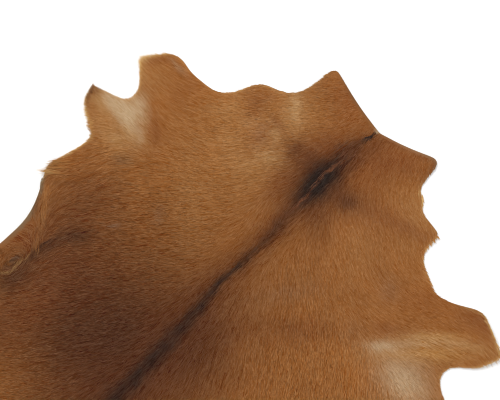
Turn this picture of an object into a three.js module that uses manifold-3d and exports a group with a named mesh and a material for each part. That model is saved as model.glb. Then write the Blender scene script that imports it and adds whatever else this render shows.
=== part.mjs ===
// A hair-on goatskin lying hair side up: one tanned pelt with the neck towards +Y,
// the four leg ends opened out to the sides and the rump towards -Y.
// Millimetres, +Z up. The origin is under the middle of the pelt, on the floor.
import * as THREE from "three";
import { mergeVertices } from "three/addons/utils/BufferGeometryUtils.js";
import Module from "manifold-3d";

const wasm = await Module();
wasm.setup();

// Driving dimensions
const SKIN_DEPTH = 1.5;
const COAT_DEPTH = 4.5;
const RIM_COAT_DEPTH = 1.0;
const RIM_BAND = 34;
const SPINE_CREST = 1.2;
const SPINE_CREST_HALF_WIDTH = 16;
const GRID_STEP = 22;
const CURVE_STEPS = 5;
const PRISM_HEIGHT = 80;
const PRISM_BELOW = 5;
const COAT_COLOUR = 0x8d592f;

// The cut edge. A row is one corner or bay of the hide: how far it lies out from the spine,
// how far back from the notch in the neck, and how much of each straight run it rounds off.
const NOTCH_ROUND = 4;
const LEFT_EDGE = [
  { at: "neck edge", out: 54, back: -8.5, round: 36 },
  { at: "neck corner", out: 116, back: -25, round: 12 },
  { at: "throat bay", out: 126, back: 49, round: 32 },
  { at: "chest point", out: 181, back: 70, round: 15 },
  { at: "shoulder bay", out: 206, back: 127, round: 30 },
  { at: "foreleg slope", out: 266, back: 132, round: 12 },
  { at: "foreleg shoulder", out: 289, back: 126.5, round: 10 },
  { at: "foreleg front", out: 305.5, back: 131, round: 8 },
  { at: "foreleg end", out: 335.5, back: 169, round: 5 },
  { at: "armpit front", out: 303, back: 205, round: 12 },
  { at: "armpit rear", out: 304, back: 231, round: 17 },
  { at: "elbow point", out: 359, back: 248.5, round: 2 },
  { at: "elbow rear", out: 352, back: 276, round: 15 },
  { at: "girth bay", out: 301, back: 306, round: 18 },
  { at: "belly corner", out: 323, back: 380, round: 7 },
  { at: "flank bay", out: 288, back: 453, round: 30 },
];
const RIGHT_EDGE = [
  { at: "neck edge", out: 46, back: -14, round: 30 },
  { at: "neck corner", out: 96, back: -36, round: 19 },
  { at: "throat bay", out: 101, back: 18, round: 15 },
  { at: "throat lock", out: 119.5, back: 28, round: 4 },
  { at: "throat nick", out: 124, back: 36, round: 3 },
  { at: "throat rise", out: 132, back: 41, round: 5 },
  { at: "chest point", out: 171, back: 46, round: 6 },
  { at: "shoulder bay", out: 171, back: 89, round: 26 },
  { at: "shoulder nick", out: 228, back: 114, round: 3 },
  { at: "shoulder curve", out: 252, back: 109, round: 20 },
  { at: "foreleg front", out: 299, back: 82, round: 17 },
  { at: "foreleg end", out: 366, back: 113, round: 8 },
  { at: "foreleg rear", out: 352, back: 150, round: 12 },
  { at: "armpit front", out: 318, back: 180, round: 14 },
  { at: "armpit rear", out: 322, back: 206, round: 16 },
  { at: "elbow point", out: 367, back: 228, round: 8 },
  { at: "elbow rear", out: 356, back: 260, round: 14 },
  { at: "girth bay", out: 306, back: 294, round: 20 },
  { at: "belly corner", out: 325, back: 372, round: 12 },
  { at: "flank bay", out: 292, back: 450, round: 30 },
];
// The hind end has the same corners on both sides, and meets behind the tail.
const TAIL_BACK = 896;
const TAIL_ROUND = 34;
const HIND_EDGE = [
  { at: "stifle", out: 294, back: 548, round: 40 },
  { at: "hind leg front", out: 376, back: 676, round: 16 },
  { at: "hind leg end", out: 374, back: 740, round: 18 },
  { at: "thigh bay", out: 270, back: 776, round: 44 },
  { at: "rump side", out: 176, back: 850, round: 40 },
  { at: "rump corner", out: 84, back: 884, round: 36 },
];

// Soft folds and curled edges, where the pelt lifts off the floor. x is across, to the right of
// the spine, and turn is how far the fold's length is turned from the spine, anticlockwise.
const FOLDS = [
  { at: "neck slit", x: 0, back: 6, turn: 0, halfLength: 66, halfWidth: 30, lift: 4 },
  { at: "left neck corner", x: -116, back: -18, turn: 40, halfLength: 62, halfWidth: 46, lift: 3 },
  { at: "right neck corner", x: 96, back: -28, turn: -50, halfLength: 66, halfWidth: 44, lift: 4 },
  { at: "left chest point", x: -192, back: 72, turn: 30, halfLength: 60, halfWidth: 50, lift: 4 },
  { at: "left foreleg", x: -326, back: 140, turn: 35, halfLength: 66, halfWidth: 52, lift: 6 },
  { at: "left elbow", x: -366, back: 262, turn: -15, halfLength: 64, halfWidth: 40, lift: 12 },
  { at: "left flank", x: -296, back: 440, turn: 12, halfLength: 120, halfWidth: 52, lift: 11 },
  { at: "left flank roll", x: -228, back: 452, turn: -38, halfLength: 112, halfWidth: 40, lift: 5 },
  { at: "right chest point", x: 174, back: 46, turn: 20, halfLength: 52, halfWidth: 40, lift: 3 },
  { at: "right foreleg", x: 356, back: 112, turn: -30, halfLength: 76, halfWidth: 54, lift: 6 },
  { at: "right belly", x: 322, back: 362, turn: 4, halfLength: 128, halfWidth: 48, lift: 10 },
  { at: "left hind leg", x: -376, back: 712, turn: 20, halfLength: 86, halfWidth: 56, lift: 14 },
  { at: "right hind leg", x: 376, back: 706, turn: -24, halfLength: 90, halfWidth: 60, lift: 10 },
  { at: "rump", x: 48, back: 892, turn: 84, halfLength: 120, halfWidth: 46, lift: 8 },
  { at: "loin swell", x: 96, back: 566, turn: 62, halfLength: 150, halfWidth: 62, lift: 4 },
  { at: "shoulder swell", x: -128, back: 214, turn: -48, halfLength: 140, halfWidth: 58, lift: 4 },
];

// Rim locks, where the hair runs out over the cut edge and parts into points. They stand evenly
// between two places on the edge, and lean is how far they turn from straight out to the rear.
const LOCK_HALF_WIDTH = 2.6;
const LOCK_HALF_DEPTH = 1.1;
const LOCK_ROOT = 9;
const LOCK_SIDES = 4;
const LOCKS = [
  { at: "left foreleg", side: -1, out: 313, back: 141, toOut: 331, toBack: 164, count: 6, reach: 3, lean: -8 },
  { at: "left elbow", side: -1, out: 336, back: 283, toOut: 308, toBack: 300, count: 7, reach: 5, lean: 46 },
  { at: "left belly", side: -1, out: 316, back: 376, toOut: 314, toBack: 390, count: 5, reach: 12, lean: 50 },
  { at: "right chest", side: 1, out: 169, back: 53, toOut: 169, toBack: 77, count: 7, reach: 6, lean: 40 },
  { at: "right foreleg", side: 1, out: 316, back: 91, toOut: 354, toBack: 109, count: 7, reach: 3, lean: 4 },
  { at: "right elbow", side: 1, out: 353, back: 262, toOut: 318, toBack: 286, count: 7, reach: 7, lean: 48 },
  { at: "right belly", side: 1, out: 317, back: 348, toOut: 320, toBack: 374, count: 5, reach: 7, lean: 42 },
  { at: "left hind leg", side: -1, out: 372, back: 700, toOut: 368, toBack: 736, count: 6, reach: 8, lean: 34 },
  { at: "right hind leg", side: 1, out: 372, back: 700, toOut: 368, toBack: 736, count: 6, reach: 8, lean: 34 },
  { at: "left rump", side: -1, out: 150, back: 856, toOut: 14, toBack: 892, count: 11, reach: 6, lean: 78 },
  { at: "right rump", side: 1, out: 150, back: 856, toOut: 14, toBack: 892, count: 11, reach: 6, lean: 78 },
];

// Corners of the whole edge in order, from the notch round by the left side.
function edgeCorners() {
  const across = (side) => (row) => ({ x: side * row.out, y: -row.back, round: row.round });
  const left = [...LEFT_EDGE, ...HIND_EDGE].map(across(-1));
  const right = [...RIGHT_EDGE, ...HIND_EDGE].map(across(1));
  const notch = { x: 0, y: 0, round: NOTCH_ROUND };
  const tail = { x: 0, y: -TAIL_BACK, round: TAIL_ROUND };
  return [notch, ...left, tail, ...right.reverse()];
}

// The point that lies the given way from one corner towards the next, at most half way.
function towards(corner, next, way) {
  const from = new THREE.Vector2(corner.x, corner.y);
  const to = new THREE.Vector2(next.x, next.y);
  const share = Math.min(0.5, way / from.distanceTo(to));
  return from.lerp(to, share);
}

// The edge as a closed path: straight runs, with each corner rounded by one curve.
function edgeShape() {
  const corners = edgeCorners();
  const shape = new THREE.Shape();
  corners.forEach((corner, i) => {
    const before = corners[(i + corners.length - 1) % corners.length];
    const after = corners[(i + 1) % corners.length];
    const start = towards(corner, before, corner.round);
    const end = towards(corner, after, corner.round);
    if (i === 0) shape.moveTo(start.x, start.y);
    else shape.lineTo(start.x, start.y);
    shape.quadraticCurveTo(corner.x, corner.y, end.x, end.y);
  });
  shape.closePath();
  return shape;
}

const edge = edgeShape();
const edgePoints = edge.getPoints(CURVE_STEPS);
const edgeBox = new THREE.Box2().setFromPoints(edgePoints);
const middle = edgeBox.getCenter(new THREE.Vector2());

function distanceToEdge(x, y) {
  const point = new THREE.Vector3(x, y, 0);
  const nearest = new THREE.Vector3();
  const run = new THREE.Line3();
  let least = Infinity;
  edgePoints.forEach((from, i) => {
    const to = edgePoints[(i + 1) % edgePoints.length];
    run.start.set(from.x, from.y, 0);
    run.end.set(to.x, to.y, 0);
    run.closestPointToPoint(point, true, nearest);
    least = Math.min(least, nearest.distanceTo(point));
  });
  return least;
}

// Height of the skin's underside over the floor: the sum of the folds that reach this place.
function floorGap(x, y) {
  let gap = 0;
  for (const fold of FOLDS) {
    const place = new THREE.Vector2(x - fold.x, y + fold.back);
    place.rotateAround(new THREE.Vector2(), THREE.MathUtils.degToRad(-fold.turn));
    const far = (place.y / fold.halfLength) ** 2 + (place.x / fold.halfWidth) ** 2;
    if (far < 1) gap += fold.lift * (1 - far) ** 2;
  }
  return gap;
}

// Depth of skin and lying hair: thin at the cut edge, full inside it, with a low crest on the spine.
function peltDepth(x, y) {
  const inside = THREE.MathUtils.smoothstep(distanceToEdge(x, y), 0, RIM_BAND);
  const coat = RIM_COAT_DEPTH + (COAT_DEPTH - RIM_COAT_DEPTH) * inside;
  const crest = SPINE_CREST * Math.exp(-((x / SPINE_CREST_HALF_WIDTH) ** 2)) * inside;
  return SKIN_DEPTH + coat + crest;
}

// A slab over the whole box of the edge, with the folds and the coat's depth in its two faces.
function foldedSlab() {
  const size = edgeBox.getSize(new THREE.Vector2()).addScalar(2 * GRID_STEP);
  const columns = Math.ceil(size.x / GRID_STEP);
  const rows = Math.ceil(size.y / GRID_STEP);
  const face = new THREE.PlaneGeometry(size.x, size.y, columns, rows);
  face.translate(middle.x, middle.y, 0);
  const flat = face.getAttribute("position");
  const faceCount = flat.count;
  const places = new Float32Array(faceCount * 6);
  for (let i = 0; i < faceCount; i++) {
    const x = flat.getX(i);
    const y = flat.getY(i);
    const gap = floorGap(x, y);
    places.set([x, y, gap + peltDepth(x, y)], i * 3);
    places.set([x, y, gap], (faceCount + i) * 3);
  }
  const top = Array.from(face.index.array);
  const under = top.map((_, k) => faceCount + top[k - (k % 3) + 2 - (k % 3)]);
  const wall = [];
  const addWall = (a, b) => wall.push(a, a + faceCount, b, b, a + faceCount, b + faceCount);
  const at = (column, row) => row * (columns + 1) + column;
  for (let column = 0; column < columns; column++) {
    addWall(at(column + 1, 0), at(column, 0));
    addWall(at(column, rows), at(column + 1, rows));
  }
  for (let row = 0; row < rows; row++) {
    addWall(at(0, row), at(0, row + 1));
    addWall(at(columns, row + 1), at(columns, row));
  }
  const slab = new THREE.BufferGeometry();
  slab.setAttribute("position", new THREE.BufferAttribute(places, 3));
  slab.setIndex([...top, ...under, ...wall]);
  return slab;
}

// One lock: a slim flat-sided cone that starts inside the edge and tapers to its tip outside it.
function lockGeometry(row, share) {
  const x = row.side * THREE.MathUtils.lerp(row.out, row.toOut, share);
  const y = -THREE.MathUtils.lerp(row.back, row.toBack, share);
  const length = LOCK_ROOT + row.reach;
  const cone = new THREE.ConeGeometry(LOCK_HALF_WIDTH, length, LOCK_SIDES);
  cone.translate(0, length / 2 - LOCK_ROOT, 0);
  cone.scale(1, 1, LOCK_HALF_DEPTH / LOCK_HALF_WIDTH);
  cone.rotateZ(THREE.MathUtils.degToRad(-row.side * (90 + row.lean)));
  cone.translate(x, y, floorGap(x, y) + LOCK_HALF_DEPTH + SKIN_DEPTH / 4);
  return cone;
}

function solidOf(geometry) {
  const bare = geometry.clone();
  bare.deleteAttribute("normal");
  bare.deleteAttribute("uv");
  const merged = mergeVertices(bare);
  return new wasm.Manifold(
    new wasm.Mesh({
      numProp: 3,
      vertProperties: new Float32Array(merged.getAttribute("position").array),
      triVerts: new Uint32Array(merged.index.array),
    }),
  );
}

function geometryOf(solid) {
  const mesh = solid.getMesh();
  const geometry = new THREE.BufferGeometry();
  geometry.setAttribute("position", new THREE.BufferAttribute(mesh.vertProperties, 3));
  geometry.setIndex(new THREE.BufferAttribute(mesh.triVerts, 1));
  geometry.computeVertexNormals();
  return geometry;
}

// The pelt: the folded slab cut to the edge, with the rim locks fused to it.
function peltGeometry() {
  const prism = new THREE.ExtrudeGeometry(edge, {
    depth: PRISM_HEIGHT,
    bevelEnabled: false,
    curveSegments: CURVE_STEPS,
  });
  prism.translate(0, 0, -PRISM_BELOW);
  let pelt = solidOf(foldedSlab()).intersect(solidOf(prism));
  for (const row of LOCKS) {
    for (let i = 0; i < row.count; i++) {
      const share = row.count > 1 ? i / (row.count - 1) : 0.5;
      pelt = pelt.add(solidOf(lockGeometry(row, share)));
    }
  }
  const geometry = geometryOf(pelt);
  geometry.computeBoundingBox();
  const centre = geometry.boundingBox.getCenter(new THREE.Vector3());
  return geometry.translate(-centre.x, -centre.y, -geometry.boundingBox.min.z);
}

const coat = new THREE.MeshStandardMaterial({ color: COAT_COLOUR, roughness: 0.8, metalness: 0 });
const goatskin = new THREE.Mesh(peltGeometry(), coat);
goatskin.name = "goatskin";

const part = new THREE.Group();
part.add(goatskin);

export default part;
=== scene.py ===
"""Looks of the goatskin: a thin tanned skin that lies on the solid's folds, and its lying hair.

Places and sizes are in millimetres: x to the right of the spine and back from the notch in the neck, or
y up the spine in the row frame. Meshes, camera, lights and floor are made in metres, in the row frame.
"""

import math
from collections import namedtuple

import bpy
import numpy as np
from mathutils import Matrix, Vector
from mathutils.bvhtree import BVHTree
from mathutils.geometry import delaunay_2d_cdt


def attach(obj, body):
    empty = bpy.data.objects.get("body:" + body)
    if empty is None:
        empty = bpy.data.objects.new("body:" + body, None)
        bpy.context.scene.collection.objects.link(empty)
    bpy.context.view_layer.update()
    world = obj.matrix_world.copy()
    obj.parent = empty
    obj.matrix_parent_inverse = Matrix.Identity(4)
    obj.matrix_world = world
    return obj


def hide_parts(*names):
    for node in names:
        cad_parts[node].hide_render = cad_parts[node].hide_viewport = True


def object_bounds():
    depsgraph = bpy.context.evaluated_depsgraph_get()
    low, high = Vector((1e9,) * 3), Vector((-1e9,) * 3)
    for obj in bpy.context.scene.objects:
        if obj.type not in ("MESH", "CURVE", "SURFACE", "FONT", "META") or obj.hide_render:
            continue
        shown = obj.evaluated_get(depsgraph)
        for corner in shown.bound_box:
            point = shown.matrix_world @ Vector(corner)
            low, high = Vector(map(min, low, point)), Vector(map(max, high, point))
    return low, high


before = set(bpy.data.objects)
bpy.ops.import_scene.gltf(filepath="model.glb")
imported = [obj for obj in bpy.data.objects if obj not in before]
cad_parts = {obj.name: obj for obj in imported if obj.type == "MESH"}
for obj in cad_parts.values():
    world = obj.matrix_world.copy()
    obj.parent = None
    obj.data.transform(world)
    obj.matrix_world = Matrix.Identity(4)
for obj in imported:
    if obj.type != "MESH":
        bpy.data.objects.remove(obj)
cad_lo, cad_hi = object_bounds()
scene = bpy.context.scene

SEED = 20260
MM = 0.001
TINY = 1e-6
PELT_NODE = "goatskin"
HAIR_PIECES = ["hair_neck", "hair_shoulder", "hair_barrel", "hair_loin", "hair_rump"]

# How far the neck's longest corner reaches ahead of the notch
NECK_REACH = 30.41
NOTCH_Y = cad_hi.y / MM - NECK_REACH

# Photograph's frame
IMAGE_WIDTH = 500
IMAGE_HEIGHT = 400
MM_PER_PX = 1.5
NOTCH_PX = (379.5, 133.0)
SPINE_ROLL = math.radians(44.256)

# Camera, lights and floor, in metres and watts, and the sensor in millimetres
CAMERA_HEIGHT = 3.0
SENSOR = 36.0
ROOM_STRENGTH = 0.95
KEY_SIZE = 1.4
KEY_POWER = 42
KEY_ASIDE = 1.35
KEY_HEIGHT = 2.5
KEY_BEARING = math.radians(120)
PIXEL_FILTER = 1.0
FLOOR_HALF = 30.0
FLOOR_BELOW = 0.0004
FLOOR_WHITE = 0.88

# Maps over the plan, which are read up to MAP_LAST cells before their end
MAP_LAST = 1.001
EDGE_MAP_STEP = 2.0
EDGE_MAP_REACH = 60.0
EDGE_MAP_MARGIN = 40
FOLD_MAP_STEP = 6.0
FOLD_MAP_MARGIN = 30
FOLD_MAP_SOFTER = 3
RAY_START = -50

# Skin. RIM_LINE is a row of points inside its edge. RIM_TOP and RIM_MIDDLE are shares of the depth
SKIN_DEPTH = 1.5
SKIN_STEP = 8.0
SKIN_FILL_GAP = 9.5
RIM_STEP = 4.0
RIM_LINE = 1.1
RIM_LINE_GAP = 0.8 * RIM_LINE
RIM_INSET = 0.5
RIM_OVERHUNG = 3.0
RIM_SOFTER = 4
RIM_TOP = 0.85
RIM_MIDDLE = 0.45
MERGE_GAP = 1e-4
UV_MARGIN = 1.08

# Hair
ROOT_STEP = 1.06
ROOT_SINK = 0.4
LOCK_STEP = 2.7
LOCK_BORDER = 2
STRAND_WIDTH = 0.68
FULL_WIDTH_LENGTH = 6
LEAST_WIDTH = 0.5
TIP_RISE = 0.8
STRAY_SHARE = 0.012
STRAY_RISE = 1.5
GUARD_SHARE = 0.15
GUARD_TONE = 1.8
GUARD_WIDTH = 1.3
LOCK_LENGTH_SHARE = 0.5
LOCK_SWING_SHARE = 0.7
MIDDLE_GATHER = 0.4
LEAST_LIFT = 0.9
RIM_LIFT = 0.30
FULL_LIFT_INSIDE = 34

# Hair that runs out over the cut edge
PAST_EDGE = (-0.8, 1.0)
BARE_DRAWS_BACK = 1.6
EDGE_LEAST = 0.3
EDGE_PASSES = 3
SHORTEST = 0.15
# Tips past the cut edge turn pale: partly the hair's own pale tips, partly a painted glow of light on the
# rim
PALE_PAST_EDGE = (-1.0, 2.0)
PALE_PAST_MOST = 0.65

# Ranges from which each hair, or each lock's guide hair, draws its share of the usual value
GUIDE_LENGTHS = (0.8, 1.2)
GUIDE_LIFTS = (0.85, 1.2)
LENGTHS = (0.75, 1.2)
GATHERS = (0.7, 1.3)
WIDTHS = (0.7, 1.25)
TIP_LIFTS = (0.9, 1.1)

# Tufts: such ranges, spreads of tone and across, and how far middle and tip are drawn in
TUFT_LENGTHS = (0.7, 1.1)
TUFT_LIFTS = (0.4, 0.55)
TUFT_TIP_PALE = (0.4, 0.9)
TUFT_MIDDLE_PALE = (0.0, 0.1)
TUFT_TONE = 0.025
TUFT_SPREAD = 0.5
TUFT_DRAWN_IN = (0.10, 0.55)

# What changes from the smooth short coat to the rough long one: (smooth, rough). Swings and roll are in
# degrees, and tones are spreads of a hair's step from its place's colour, as a share of the screen's range
OWN_TONE = (0.019, 0.027)
LOCK_TONE = (0.002, 0.005)
TIP_TONE = (0.007, 0.018)
STREAK_TONE = (0.0095, 0.018)
LIFT_SPREAD = (0.4, 1.8)
WIDTH_SHARE = (1.5, 1.0)
COAT_SHADE = (0.73, 0.91)
STREAK_REACH = (4.0, 9.0)
OWN_SWING = (7.0, 10.0)
LOCK_SWING = (4.0, 7.0)
WAVE_SWING = (5.0, 9.0)
GATHER = (0.20, 0.35)
# Roots are darker: partly their own colour, partly painted shade among the hairs
ROOT_SHADE = (0.94, 0.84)
ROLL = (3, 15)

# Tones of single hairs, as steps on the screen
SCREEN_POWER = 2.2
STEP_SHARE = np.array([0.82, 1.05, 1.20])
PALE_MOST = 0.05
DARK_MOST = -0.12
SCREEN_LEAST = 0.02
TIP_STEP = 0.010
DARK_SIDE = 0.18

# Streaks along the lie of the coat, and how far aside a hair takes its colour
COLOUR_STRAY = 0.8
STREAK_STRAY = 2.5
STREAK_CALM = 0.6
STREAK_CELL = 1.05
STREAK_STEPS = 21
STREAK_SEED = 10

# Layers of soft noise: depth, size of the bumps, seed
NOISE_SIZE = 128
WARP_ACROSS = [(2.0, 18, 1), (1.2, 6, 2)]
WARP_ALONG = [(2.0, 18, 3), (1.2, 6, 4)]
CLOUDS = [(0.06, 70, 5), (0.06, 26, 6), (0.02, 11, 12)]
SKIN_GRAIN = [(0.2, 14, 7)]
LOCK_WAVE = [(1.0, 24, 8)]
STRIPE_DEPTH_NOISE = [(0.20, 9, 13)]
STRIPE_WIDTH_NOISE = [(0.22, 12, 14)]
CREST_DEPTH_NOISE = [(0.12, 7, 9)]
CREST_HALF_NOISE = [(0.3, 10, 11)]

# Means that the stripe's and the crest's noise is added to, and where the crest begins and ends, in back
STRIPE_DEPTH = 0.88
STRIPE_WIDTH = 1.08
CREST_DEPTH = 0.72
CREST_HALF = 2.2
CREST_BEGINS = (34, 82)
CREST_ENDS = (150, 210)

# How firm the borders of the colour zones and of the patches are
ZONE_FIRMNESS = 1
PATCH_FIRMNESS = 2

# How the hair turns outwards from the spine by itself: back, then the most degrees that it turns, or the
# distance from the stripe over which it does so on either side
LIE_MOST = np.array([(0, 46), (240, 46), (340, 42), (480, 31), (900, 22)]).T
LIE_LEFT = np.array([
    (0, 42), (60, 50), (110, 56), (160, 70), (220, 74), (290, 60), (345, 40), (400, 50), (480, 56),
]).T
LIE_RIGHT = np.array([
    (0, 75), (60, 80), (110, 64), (150, 60), (190, 70), (220, 62), (340, 62), (480, 75),
]).T
LIE_WEIGHT = 7
WHORL_CORE = 0.55
WHORL_INWARDS = 0.25
COAT_WEIGHT = 4

# The dark stripe on the spine: back, x of its middle, half width, strength, halo's half width, its strength
STRIPE = np.array([
    (-40, 0, 5, 0, 30, 0.1), (0, 0, 4, 0.1, 26, 0.25), (28, -9, 5, 0.25, 24, 0.45),
    (55, -15.5, 8, 0.15, 32, 0.6), (70, -12, 10, 0.2, 38, 0.65), (85, -14, 10, 0.1, 46, 0.65),
    (100, -18, 10, 0.1, 50, 0.65), (115, -14.5, 10, 0.1, 50, 0.7), (130, -15.5, 10, 0.15, 46, 0.72),
    (146, -12.5, 10, 0.4, 38, 0.75), (164, -12.5, 10, 0.45, 32, 0.78), (182, -13, 9, 0.42, 27, 0.78),
    (214, -11, 7, 0.38, 22, 0.84), (250, -11, 5, 0.52, 20, 0.72), (300, -14, 6, 0.94, 24, 0.6),
    (321, -15, 6, 0.88, 26, 0.6), (350, -14.5, 7.5, 0.84, 31, 0.61), (373, -11, 9, 0.82, 36, 0.62),
    (452, -8, 13, 0.75, 50, 0.66), (600, -5, 16, 0.75, 50, 0.55), (760, -2, 14, 0.7, 44, 0.5),
    (930, 0, 10, 0.6, 36, 0.4),
]).T

# Which way the hair lies: degrees from straight back, turning outwards. x, back, reach, angle
LIE = np.array([
    (-32, 16, 24, 12), (-205, 138, 30, 54), (-193, 172, 24, 68), (-194, 212, 38, 76),
    (-125, 155, 44, 36), (-26, 205, 22, -18), (-190, 262, 24, 52), (-245, 256, 24, 84),
    (-235, 168, 34, 66), (-252, 226, 26, 106), (-275, 155, 46, 78), (-300, 185, 34, 104),
    (-289, 226, 26, 108), (-312, 284, 26, 58), (-345, 255, 22, 92), (-238, 298, 20, 44),
    (-285, 328, 34, 22), (-250, 346, 24, 16), (-230, 365, 20, 38), (-234, 398, 18, 28),
    (-257, 370, 16, 26), (-281, 377, 12, 14), (-276, 399, 14, 1), (-293, 395, 10, -9),
    (-283, 426, 14, -32), (-265, 419, 14, 6), (-258, 444, 12, -12), (-298, 409, 9, -39),
    (-281, 435, 11, -42), (-264, 463, 9, -46), (-256, 476, 8, -44), (-249, 490, 8, -40),
    (-310, 411, 9, -49), (-288, 447, 9, -80), (-276, 459, 8, -92), (-286, 463, 9, -134),
    (-289, 478, 9, -158), (-278, 490, 9, -134), (-268, 483, 8, -106), (-260, 485, 7, -72),
    (-285, 507, 11, -145), (-156, 376, 50, 41), (-122, 430, 30, 46), (-168, 456, 32, 44),
    (-197, 475, 18, 24), (-222, 472, 20, 18), (-236, 442, 18, 18), (-224, 518, 24, 8),
    (-172, 512, 30, 42), (-100, 500, 50, 28), (-190, 577, 60, 33), (-240, 562, 26, 32),
    (109, 132, 45, 68), (187, 190, 36, 100), (224, 142, 55, 108), (293, 106, 55, 100),
    (258, 178, 40, 124), (305, 148, 26, 120), (150, 208, 28, 78), (140, 258, 34, 44),
    (76, 322, 30, 26), (88, 212, 30, 62), (56, 266, 18, 46), (76, 36, 34, 20),
    (111, 62, 28, 96), (152, 94, 18, 52), (158, 62, 32, 66), (330, 245, 40, 80),
    (300, 350, 50, 40), (270, 455, 40, 0), (200, 490, 70, 22), (120, 560, 80, 14),
    (-330, 700, 70, 82), (330, 700, 70, 82), (-220, 690, 70, 55), (220, 690, 70, 55),
    (-150, 830, 70, 30), (150, 830, 70, 30),
]).T

# Whorls, where the hair turns round a point: x, back, radius, turn (1 is clockwise from above), and its
# width as a share of its length
WHORLS = np.array([
    (-259, 524, 52, 1, 0.55),
    (266, 520, 32, -1, 0.8),
]).T

# Where the coat's light and dark hairs differ most: x, back, reach, how many times as much
BOLD = np.array([
    (-283, 480, 36, 2), (-256, 522, 34, 1.9), (-287, 425, 36, 1.5), (-12, 50, 32, 1.8),
    (-40, 14, 40, 1.4), (262, 184, 48, 1.6), (140, 150, 70, 1.28),
]).T

# The coat's kind: x, back, reach, hair length seen from above, roughness from 0 to 1
COAT = np.array([
    (0, -10, 120, 9, 0.05), (-12, 52, 26, 14, 0.6), (-45, 12, 34, 12, 0.4),
    (25, 30, 24, 9, 0.3), (70, 40, 80, 6, 0.05), (150, 110, 90, 10, 0.2),
    (-130, 90, 90, 15, 0.25), (-290, 160, 80, 16, 0.5), (300, 110, 90, 13, 0.3),
    (-290, 235, 40, 12, 0.12), (-348, 258, 22, 8, 0), (-300, 400, 90, 24, 1),
    (-262, 500, 60, 26, 1), (80, 262, 80, 8, 0.6), (300, 380, 100, 18, 1),
    (0, 480, 160, 14, 1), (-350, 700, 80, 16, 0.7), (350, 700, 80, 16, 0.7),
    (0, 880, 120, 22, 1),
]).T
BODY_LENGTH = 13.0
BODY_ROUGH = 0.7


def linear(r, g, b):
    """A screen colour from 0 to 255 as the linear colour that shaders use."""
    c = np.array([r, g, b], float) / 255
    return np.where(c < 0.04045, c / 12.92, ((c + 0.055) / 1.055) ** 2.4)


CARAMEL = linear(156, 98, 46)
HONEY = linear(178, 128, 76)
TAN = linear(198, 158, 108)
RUSSET = linear(127, 69, 30)
GINGER = linear(166, 96, 38)
CHESTNUT = linear(91, 48, 22)
UMBER = linear(57, 34, 20)
BLACK = linear(29, 22, 17)
CREAM = linear(202, 175, 138)
GREY = linear(132, 106, 84)
# The crest's colour: lighter hair, with a painted highlight on its ridge
CREST = linear(120, 71, 42)
STRAW = linear(214, 176, 112)
GOLD = linear(200, 148, 84)
RIM_SKIN = linear(150, 122, 94)
OLIVE = linear(104, 92, 72)
GREY_EYE = linear(92, 71, 53)

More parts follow.
